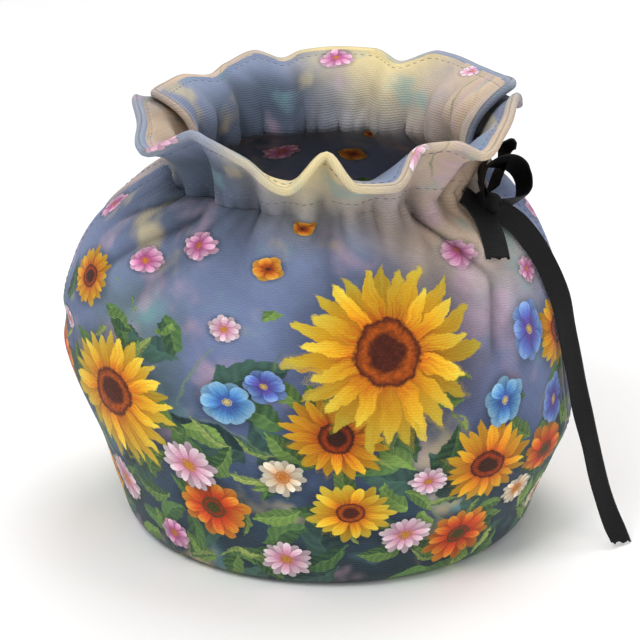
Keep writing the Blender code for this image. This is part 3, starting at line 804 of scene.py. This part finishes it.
def paintedPrint(tree):
    # the print's colour, and the cloth coordinates that the weave uses
    place = addNode(tree, "ShaderNodeUVMap", uv_map="print")
    sizes = addNode(tree, "ShaderNodeUVMap", uv_map="sizes")
    placeXY = addNode(tree, split, [place])
    sizesXY = addNode(tree, split, [sizes])
    turn, up, reach = placeXY.outputs[0], placeXY.outputs[1], sizesXY.outputs[0]
    evenReach = addNode(tree, math, [reach, flatShare, flatReach], "MULTIPLY_ADD")
    flatX = addNode(tree, math, [turn, evenReach], "MULTIPLY")
    flat = addNode(tree, join, [flatX, up, 0.0])
    # a painter's hand: outlines wander by a millimetre or two
    wander = addNode(tree, noise, {"Vector": flat, "Scale": 0.09, "Detail": 4.0, "Roughness": 0.6})
    wander = addNode(tree, vectorMath, [wander.outputs["Color"], (0.5, 0.5, 0.5)], "SUBTRACT")
    moved = addNode(tree, vectorMath, {0: wander, 1: (9.0, 9.0, 0.0), 2: flat}, "MULTIPLY_ADD")
    # wash from the foot to the rim
    clouds = addNode(tree, noise, {"Vector": flat, "Scale": 0.018, "Detail": 5.0, "Roughness": 0.55,
        "Distortion": 0.6})
    height = addNode(tree, math, [clouds, 90.0, up], "MULTIPLY_ADD")
    height = addNode(tree, remap, [height, 45.0, 290.0, 0.0, 1.0])
    wash = addNode(tree, "ShaderNodeValToRGB", [height])
    stops = [(0.0, "#28383a"), (0.18, "#33475a"), (0.34, "#56668c"), (0.5, "#7c8ab2"),
             (0.7, "#7d8aab"), (0.85, "#8792ae"), (1.0, "#949db6")]
    ramp = wash.color_ramp
    while len(ramp.elements) < len(stops):
        ramp.elements.new(0.5)
    for element, (position, colour) in zip(ramp.elements, stops):
        element.position = position
        element.color = toLinear(colour)
    colour = wash
    for middle, wide, *heights, tint, strength in hazes:
        away = addNode(tree, math, [turn, middle], "SUBTRACT")
        away = addNode(tree, math, [away], "ABSOLUTE")
        away = addNode(tree, math, [clouds, 0.9, away], "MULTIPLY_ADD")
        near = addNode(tree, remap, [away, wide + 0.55, wide * 0.4 + 0.25, 0.0, strength], "SMOOTHSTEP")
        start, full, fade, gone = heights
        rise = addNode(tree, remap, [up, start, full, 0.0, 1.0], "SMOOTHSTEP")
        fall = addNode(tree, remap, [up, fade, gone, 1.0, 0.0], "SMOOTHSTEP")
        amount = addNode(tree, math, [near, rise], "MULTIPLY")
        amount = addNode(tree, math, [amount, fall], "MULTIPLY")
        colour = addNode(tree, mix, [amount, colour, toLinear(tint)])
    # soft blots of other colours
    blots = addNode(tree, noise, {"Vector": flat, "Scale": 0.03, "Detail": 3.0})
    blotHue = addNode(tree, "ShaderNodeSeparateColor", [blots.outputs["Color"]])
    for channel, low, high, tint in ((0, 0.56, 0.7, "#7fb3b4"), (1, 0.57, 0.7, "#c9a9bf"),
                                     (2, 0.58, 0.72, "#e2cf9a")):
        amount = addNode(tree, remap, [blotHue.outputs[channel], low, high, 0.0, 0.55], "SMOOTHSTEP")
        colour = addNode(tree, mix, [amount, colour, toLinear(tint)])
    # brush strokes that slant across the wash
    strokeAt = addNode(tree, "ShaderNodeVectorRotate", {"Vector": flat, "Angle": 0.7},
        rotation_type="Z_AXIS")
    strokeAt = addNode(tree, vectorMath, [strokeAt, (0.035, 0.13, 0.0)], "MULTIPLY")
    strokes = addNode(tree, noise, {"Vector": strokeAt, "Scale": 1.0, "Detail": 3.0, "Distortion": 1.0})
    light = addNode(tree, remap, [strokes, 0.3, 0.7, 0.93, 1.07])
    colour = addNode(tree, vectorMath, {0: colour, "Scale": light}, "SCALE")
    # foliage, thick at the foot and thin above
    leaves = leafGroup()
    growth = addNode(tree, remap, [height, 0.3, 0.54, 1.0, 0.0], "SMOOTHSTEP")
    for cell, seed, most, slim, light, dark in (
            (34.0, 3.1, 0.95, 0.26, "#4f7466", "#22383c"), (26.0, 7.7, 0.9, 0.2, "#6f9a55", "#2c4a3a"),
            (20.0, 12.3, 0.75, 0.22, "#8fb25a", "#34563a"), (17.0, 19.9, 0.5, 0.12, "#b4c46a", "#4a6f4a"),
            (52.0, 29.3, 0.8, 0.022, "#7f9a6a", "#40584c")):
        amount = addNode(tree, math, [growth, most, 0.3 if slim < 0.1 else 0.0], "MULTIPLY_ADD")
        colour = addNode(tree, "ShaderNodeGroup", {"Flat": moved, "Under": colour, "Cell": cell,
            "Seed": seed, "Amount": amount, "Slim": slim, "Light": toLinear(light),
            "Dark": toLinear(dark)}, node_tree=leaves)
    bloom = bloomGroup()
    for name in layerNames:
        local = addNode(tree, "ShaderNodeUVMap", uv_map="bloom" + name)
        kind = addNode(tree, "ShaderNodeAttribute", attribute_name="kind" + name)
        colour = addNode(tree, "ShaderNodeGroup", {"Local": local, "Kind": kind.outputs["Vector"],
            "Wander": wander, "Under": colour}, node_tree=bloom)
    return colour, turn, up, reach, sizesXY.outputs[1]


def printedCanvas():
    # Cotton canvas, plain woven and printed: matt, with a fine rib that catches the light, and
    # painted shade that makes the colour darker between the threads than on their tops.
    material, tree = newMaterial("Printed cotton canvas")
    colour, turn, up, reach, fromEdge = paintedPrint(tree)
    clothX = addNode(tree, math, [turn, canvasLook["weaveReach"]], "MULTIPLY")
    weaveX = addNode(tree, math, [clothX, pi / canvasLook["ribPitch"]], "MULTIPLY")
    weaveY = addNode(tree, math, [up, pi / canvasLook["ribPitch"]], "MULTIPLY")
    sinX = addNode(tree, math, [weaveX], "SINE")
    sinY = addNode(tree, math, [weaveY], "SINE")
    product = addNode(tree, math, [sinX, sinY], "MULTIPLY")
    ribs = addNode(tree, math, [sinY, sinY], "MULTIPLY")
    threads = addNode(tree, math, [product, 0.35, ribs], "MULTIPLY_ADD")
    slub = addNode(tree, join, [clothX, up, 0.0])
    slubNoise = addNode(tree, noise, {"Vector": slub, "Scale": 0.7, "Detail": 3.0})
    woven = addNode(tree, math, [slubNoise, 0.5, threads], "MULTIPLY_ADD")
    bump = addNode(tree, "ShaderNodeBump", {"Strength": 1.0, "Distance": canvasLook["weaveDepth"] * mm,
        "Height": woven})
    # painted shade: darker between the threads, lighter on their tops
    tone = addNode(tree, remap, [woven, 0.0, 1.4, 0.78, 0.92])
    # painted shade darkens the colour in the troughs of creases and gathers, and painted light lightens
    # it on ridges
    trough = addNode(tree, "ShaderNodeAttribute", attribute_name="trough")
    creaseShade = addNode(tree, remap, [trough.outputs["Fac"], 0.3, 3.0, 1.0, 0.5])
    ridgeLight = addNode(tree, remap, [trough.outputs["Fac"], -1.0, 0.0, 1.12, 1.0])
    tone = addNode(tree, math, [tone, creaseShade], "MULTIPLY")
    tone = addNode(tree, math, [tone, ridgeLight], "MULTIPLY")
    shade = addNode(tree, vectorMath, {0: colour, "Scale": tone}, "SCALE")
    # the colour paler, towards cream, within about 2 mm of every edge and on the rounded edges
    paleEdge = addNode(tree, remap, [fromEdge, 0.0, 2.2, 0.16, 0.0], "SMOOTHSTEP")
    paledEdges = addNode(tree, mix, [paleEdge, shade, toLinear("#d9d2c4")])
    shader = addNode(tree, "ShaderNodeBsdfPrincipled", {"Base Color": paledEdges,
        "Roughness": canvasLook["roughness"], "Specular IOR Level": 0.25, "Sheen Weight": 0.12,
        "Sheen Roughness": 0.5, "Normal": bump})
    addNode(tree, "ShaderNodeOutputMaterial", [shader])
    return material


print("front and back panels")

canvas = printedCanvas()
frontGrid = panelGrid(spoutSlot, handleSlot, frontFolds, frontGathers, frontCreases, cosyShape["seed"])
backSlot = (spoutSlot[0] + 360, *spoutSlot[1:])
backGrid = panelGrid(handleSlot, backSlot, backFolds, backGathers, backCreases, cosyShape["seed"] + 1)
frontPanel, frontArea, frontLines = addPanel("frontPanel", frontGrid, -2.0, canvas)
backPanel, backArea, backLines = addPanel("backPanel", backGrid, 178.0, canvas)
print("  cloth area", round(frontArea, 4), round(backArea, 4), "neck at", round(neckPlace, 1))

for panel, node in ((frontPanel, "front_panel"), (backPanel, "back_panel")):
    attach(panel, "root")
    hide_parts(node)

print("stitches")


def threadMaterial():
    # Spun polyester thread: soft, a little lighter than the print, with a faint sheen.
    material, tree = newMaterial("Spun polyester thread")
    place = addNode(tree, "ShaderNodeTexCoord")
    fuzz = addNode(tree, noise, {"Vector": place.outputs["Object"], "Scale": 900.0, "Detail": 1.0})
    tone = addNode(tree, remap, [fuzz, 0.3, 0.7, 0.0, 1.0])
    colour = addNode(tree, mix, [tone, toLinear(stitching["dark"]), toLinear(stitching["light"])])
    shader = addNode(tree, "ShaderNodeBsdfPrincipled", {"Base Color": colour, "Roughness": 0.7,
        "Specular IOR Level": 0.3, "Sheen Weight": 0.1})
    addNode(tree, "ShaderNodeOutputMaterial", [shader])
    return material


def stitchTree(material):
    # even stitches along the edges of a mesh
    tree = bpy.data.node_groups.new("Even stitches", "GeometryNodeTree")
    tree.interface.new_socket(name="Geometry", in_out="OUTPUT", socket_type="NodeSocketGeometry")
    tree.interface.new_socket(name="Lines", in_out="INPUT", socket_type="NodeSocketGeometry")
    for name, kind in (("Spacing", "Float"), ("Length", "Float"), ("Width", "Float"), ("Seed", "Int")):
        tree.interface.new_socket(name=name, in_out="INPUT", socket_type="NodeSocket" + kind)
    given = tree.nodes.new("NodeGroupInput").outputs
    curve = addNode(tree, "GeometryNodeMeshToCurve", [given["Lines"]])
    spaced = addNode(tree, "GeometryNodeResampleCurve", {"Curve": curve, "Length": given["Spacing"]},
        mode="LENGTH")
    size = addNode(tree, join, [given["Length"], given["Width"], given["Width"]])
    ball = addNode(tree, "GeometryNodeMeshUVSphere", {"Segments": 8, "Rings": 4, "Radius": 0.5})
    stitch = addNode(tree, "GeometryNodeTransform", {"Geometry": ball, "Scale": size})
    tangent = addNode(tree, "GeometryNodeInputTangent")
    turned = addNode(tree, "FunctionNodeAlignRotationToVector", {"Vector": tangent}, axis="X")
    vary = addNode(tree, "FunctionNodeRandomValue", {"Seed": given["Seed"]}, data_type="FLOAT")
    vary.inputs[2].default_value, vary.inputs[3].default_value = 0.86, 1.1
    placed = addNode(tree, "GeometryNodeInstanceOnPoints", {"Points": spaced, "Instance": stitch,
        "Rotation": turned, "Scale": vary.outputs[1]})
    real = addNode(tree, "GeometryNodeRealizeInstances", [placed])
    finished = addNode(tree, "GeometryNodeSetMaterial", {"Geometry": real, "Material": material})
    end = tree.nodes.new("NodeGroupOutput")
    tree.links.new(finished.outputs[0], end.inputs[0])
    return tree


def addStitches(name, lines, tree):
    points, edges = [], []
    for line in lines:
        edges += [(len(points) + k, len(points) + k + 1) for k in range(len(line) - 1)]
        points += toMetres(line)
    path = bpy.data.meshes.new(name + "Path")
    path.from_pydata(points, edges, [])
    guide = addObject(name + "Guide", path)
    modifier = guide.modifiers.new("Stitches", "NODES")
    modifier.node_group = tree
    for item in tree.interface.items_tree:
        if item.in_out == "INPUT" and item.name.lower() in stitching:
            value = stitching[item.name.lower()]
            modifier[item.identifier] = value if item.name == "Seed" else value * mm
    view = bpy.context.evaluated_depsgraph_get()
    mesh = bpy.data.meshes.new_from_object(guide.evaluated_get(view))
    mesh.name = name
    mesh.shade_smooth()
    guide.modifiers.clear()
    bpy.data.objects.remove(guide)
    stitches = addObject(name, mesh)
    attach(stitches, "root")
    print("  ", name, len(mesh.polygons), "faces")


stitchNodes = stitchTree(threadMaterial())
addStitches("frontStitches", frontLines, stitchNodes)
addStitches("backStitches", backLines, stitchNodes)

print("ribbon")

# Sizes in millimetres from the cosy's upright axis.
ribbon = dict(
    wide=10.0,
    thick=0.55,
    crown=0.35,  # how far the middle of its width stands up
    ripple=0.25,
    knotCentre=(70.2, -25.4, 149.5),
    knotHalf=(7.0, 3.0, 4.6),
    knotTurn=62.0,
    knotStep=0.6,  # mm of weave to a row of the knot
    inKnot=25,  # mm of ribbon that the knot hides
    step=1.3,  # mm between the rings of a strand
    endRun=6,  # mm over which a strand flattens towards its ends
    cutRun=14,  # mm over which a slanting cut draws its end askew
    edgeShare=0.12,  # of the half width that thins to the woven edge
    colour="#070708",
    ribs=1.3,  # ribs across it to a millimetre
)

# Each row is a place along a strand: the middle of its width, then the turn and tilt of the line
# across it.
longTail = [
    (70.6, -25, 147.6, 125, 0), (80.5, -21.5, 140.7, 126, 0), (86.7, -20, 133.2, 128, 0),
    (92.1, -19, 124.6, 132, 0), (96.6, -19, 115.4, 134, 0), (100.2, -18.8, 105.6, 136, 0),
    (103.3, -18.2, 90.2, 138, 0), (105.9, -18, 78.4, 140, 0), (109.2, -18.5, 62.5, 140, 0),
    (113.9, -19.5, 44.9, 140, 0), (117.6, -20, 30, 140, 0), (122.3, -20.4, 15.4, 140, 0),
    (128.4, -21.2, 1.7, 140, 0),
]
shortTail = [
    (60.4, -28.6, 153, 150, 4), (63.4, -28.3, 150.6, 146, 2), (66.6, -28.8, 147.5, 138, 0),
    (69.8, -30.8, 144.4, 130, 0), (72.6, -33.9, 140.4, 124, 0), (74.9, -37.8, 136.3, 120, 0),
    (76.8, -42, 132, 118, 0),
]
lowLoop = [
    (67.9, -26, 151, 14, 22), (67.6, -25, 156, 12, 22), (67.7, -21.3, 160.6, 20, 28),
    (70, -15, 162.6, 42, 40), (73.6, -8, 161.2, 58, 44), (77, -3, 158.6, 64, 44),
    (79.6, -0.5, 154.8, 64, 42), (81.4, -2, 151.2, 64, 38), (82, -5.5, 148, 64, 36),
    (81, -10.5, 146.4, 64, 38), (78.6, -15.5, 146.2, 64, 42), (75.6, -20, 146.7, 64, 44),
    (72.6, -23.6, 147.8, 64, 44),
]
highLoop = [
    (68.6, -23, 151.5, 24, 28), (66.4, -21, 157, 20, 28), (66.4, -16, 161, 34, 34),
    (68, -9, 163.2, 54, 40), (70, -2.6, 164.8, 64, 42), (71.9, 2, 165, 66, 42),
    (72.8, 4.6, 162.8, 66, 42), (72.6, 3, 159.8, 66, 42), (71.8, -3, 157, 66, 42),
    (71.2, -10, 154.4, 66, 42), (70.4, -17.5, 151.6, 66, 42),
]
# Strands with the mm that one side of each end is cut longer than the other.
strands = [(longTail, 0, 5), (shortTail, 0, 0.6), (lowLoop, 0, 0), (highLoop, 0, 0)]


def wrapQuads(start, rows, around):
    # the faces round a tube of rings, and the row and column of each of their corners
    for i in range(rows - 1):
        for j in range(around):
            spots = [(i, j), (i, j + 1), (i + 1, j + 1), (i + 1, j)]
            yield tuple(start + row * around + column % around for row, column in spots), spots


def addStrand(strand, cuts, vertices, faces, flat, seed):
    # a thin ribbon along a strand: a closed loop of points for each step
    table = np.array(strand, float)
    lengths = np.concatenate([[0], np.cumsum(np.linalg.norm(np.diff(table[:, :3], axis=0), axis=1))])
    curves = [makeCurve(lengths, table[:, k]) for k in range(5)]
    stops = np.linspace(0, lengths[-1], int(lengths[-1] / ribbon["step"]) + 2)
    middle = np.stack([curves[k](stops) for k in range(3)], -1)
    turn, tilt = np.radians(curves[3](stops)), np.radians(curves[4](stops))
    across = np.stack([np.sin(turn) * np.cos(tilt), -np.cos(turn) * np.cos(tilt), np.sin(tilt)], -1)
    along = unit(np.gradient(middle, axis=0))
    up = unit(np.cross(across, along))
    side = unit(np.cross(along, up))
    span = np.linspace(-1, 1, 13)
    half, thin = ribbon["wide"] / 2, ribbon["thick"] / 2
    wave = np.sin(stops / 9.0 + seed * 2.1) + 0.6 * np.sin(stops / 4.3 + seed)
    lift = ribbon["crown"] * (1 - span ** 2)[None] + ribbon["ripple"] * wave[:, None] * span[None]
    fromEnds = np.minimum(1, np.minimum(stops, lengths[-1] - stops) / ribbon["endRun"])[:, None]
    frayed = 0.5 * np.sin(span * 7.0 + seed) + 0.35 * np.sin(span * 17.0)
    run = ribbon["cutRun"]
    slant = cuts[1] * smooth((stops - lengths[-1] + run) / run) - cuts[0] * smooth((run - stops) / run)
    centre = (middle[:, None] + side[:, None] * (span * half)[None, :, None]
              + up[:, None] * (lift * fromEnds)[..., None]
              + along[:, None] * (slant[:, None] * span[None] / 2)[..., None])
    centre[-1] += along[-1] * (frayed * bool(cuts[1]))[:, None]
    rim = ribbon["edgeShare"]
    edge = np.sqrt(np.clip(1 - (np.abs(span) - (1 - rim)).clip(0) ** 2 / rim ** 2, 0.05, 1))
    top = centre + up[:, None] * (thin * edge)[None, :, None]
    low = centre - up[:, None] * (thin * edge)[None, :, None]
    rings = np.concatenate([top, low[:, ::-1]], 1)
    count, around = rings.shape[:2]
    start = len(vertices)
    vertices.extend(rings.reshape(-1, 3).tolist())
    aroundSpan = np.concatenate([span, span[::-1]])
    for face, spots in wrapQuads(start, count, around):
        faces.append(face)
        flat.append([(aroundSpan[column % around], stops[row]) for row, column in spots])
    for i, ends in ((0, slice(None, None, -1)), (count - 1, slice(None))):
        for j in range(len(span) - 1):
            quad = [start + i * around + n for n in (j, j + 1, around - 2 - j, around - 1 - j)]
            spans = [span[j], span[j + 1], span[j + 1], span[j]]
            faces.append(tuple(quad[ends]))
            flat.append([(w, stops[i]) for w in spans[ends]])
    return lengths[-1]


def addKnot(vertices, faces, flat):
    # a rounded lump, wrapped by folds of the ribbon
    rows, columns = 24, 40
    start = len(vertices)
    turn = radians(ribbon["knotTurn"])
    sideways = np.array([sin(turn), -cos(turn), 0])
    forward = np.array([cos(turn), sin(turn), 0])
    centre = np.array(ribbon["knotCentre"])
    wide, deep, tall = ribbon["knotHalf"]
    for i in range(rows + 1):
        lean = pi * i / rows
        for j in range(columns):
            a = 2 * pi * j / columns
            x, y, z = cos(lean), sin(lean) * cos(a), sin(lean) * sin(a)
            fold = 1 - 0.10 * abs(sin(2.6 * a + 2.2 * x)) - 0.05 * abs(sin(5.0 * x + 1.3 * a))
            box = (abs(x) ** 3 + abs(y) ** 3 + abs(z) ** 3) ** (-1 / 3) * 0.94 * fold
            place = centre + (sideways * x * wide + forward * y * deep) * box
            vertices.append((place + np.array([0, 0, z * tall * box])).tolist())
    for face, spots in wrapQuads(start, rows + 1, columns):
        faces.append(face)
        flat.append([(2 * (column / columns) - 1, row * ribbon["knotStep"]) for row, column in spots])


def ribbonMaterial():
    # Black polyester grosgrain ribbon: matt, with fine ribs across it and a woven edge.
    material, tree = newMaterial("Black grosgrain ribbon")
    place = addNode(tree, split, [addNode(tree, "ShaderNodeUVMap", uv_map="weave")])
    ribs = addNode(tree, math, [place.outputs[1], 2 * pi * ribbon["ribs"]], "MULTIPLY")
    ribs = addNode(tree, math, [ribs], "SINE")
    side = addNode(tree, math, [place.outputs[0]], "ABSOLUTE")
    edge = addNode(tree, remap, [side, 0.86, 0.93, 0.0, 1.0], "SMOOTHSTEP")
    inner = addNode(tree, remap, [edge, 0.0, 1.0, 1.0, 0.25])
    height = addNode(tree, math, [ribs, inner], "MULTIPLY")
    bump = addNode(tree, "ShaderNodeBump", {"Strength": 1.0, "Distance": 0.05 * mm, "Height": height})
    fibre = addNode(tree, noise, {"Vector": addNode(tree, "ShaderNodeTexCoord").outputs["Object"],
        "Scale": 350.0, "Detail": 2.0})
    tone = addNode(tree, remap, [fibre, 0.3, 0.7, 0.0, 1.0])
    colour = addNode(tree, mix, [tone, toLinear(ribbon["colour"]), toLinear("#0e0e10")])
    colour = addNode(tree, mix, [edge, colour, toLinear("#131316")])
    rough = addNode(tree, remap, [fibre, 0.3, 0.7, 0.5, 0.64])
    shader = addNode(tree, "ShaderNodeBsdfPrincipled", {"Base Color": colour, "Roughness": rough,
        "Specular IOR Level": 0.22, "Normal": bump})
    addNode(tree, "ShaderNodeOutputMaterial", [shader])
    return material


def addRibbon():
    vertices, faces, flat, total = [], [], [], 0.0
    for seed, (strand, *cuts) in enumerate(strands):
        total += addStrand(strand, cuts, vertices, faces, flat, seed)
    addKnot(vertices, faces, flat)
    mesh = bpy.data.meshes.new("ribbonBow")
    mesh.from_pydata(toMetres(vertices), [], faces)
    writeValues(mesh.uv_layers.new(name="weave"), "uv", flat)
    mesh.materials.append(ribbonMaterial())
    mesh.shade_smooth()
    bow = addObject("ribbonBow", mesh)
    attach(bow, "root")
    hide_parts("ribbon_tie")
    print("  ribbon", round(total), "mm,", len(faces), "faces")


addRibbon()
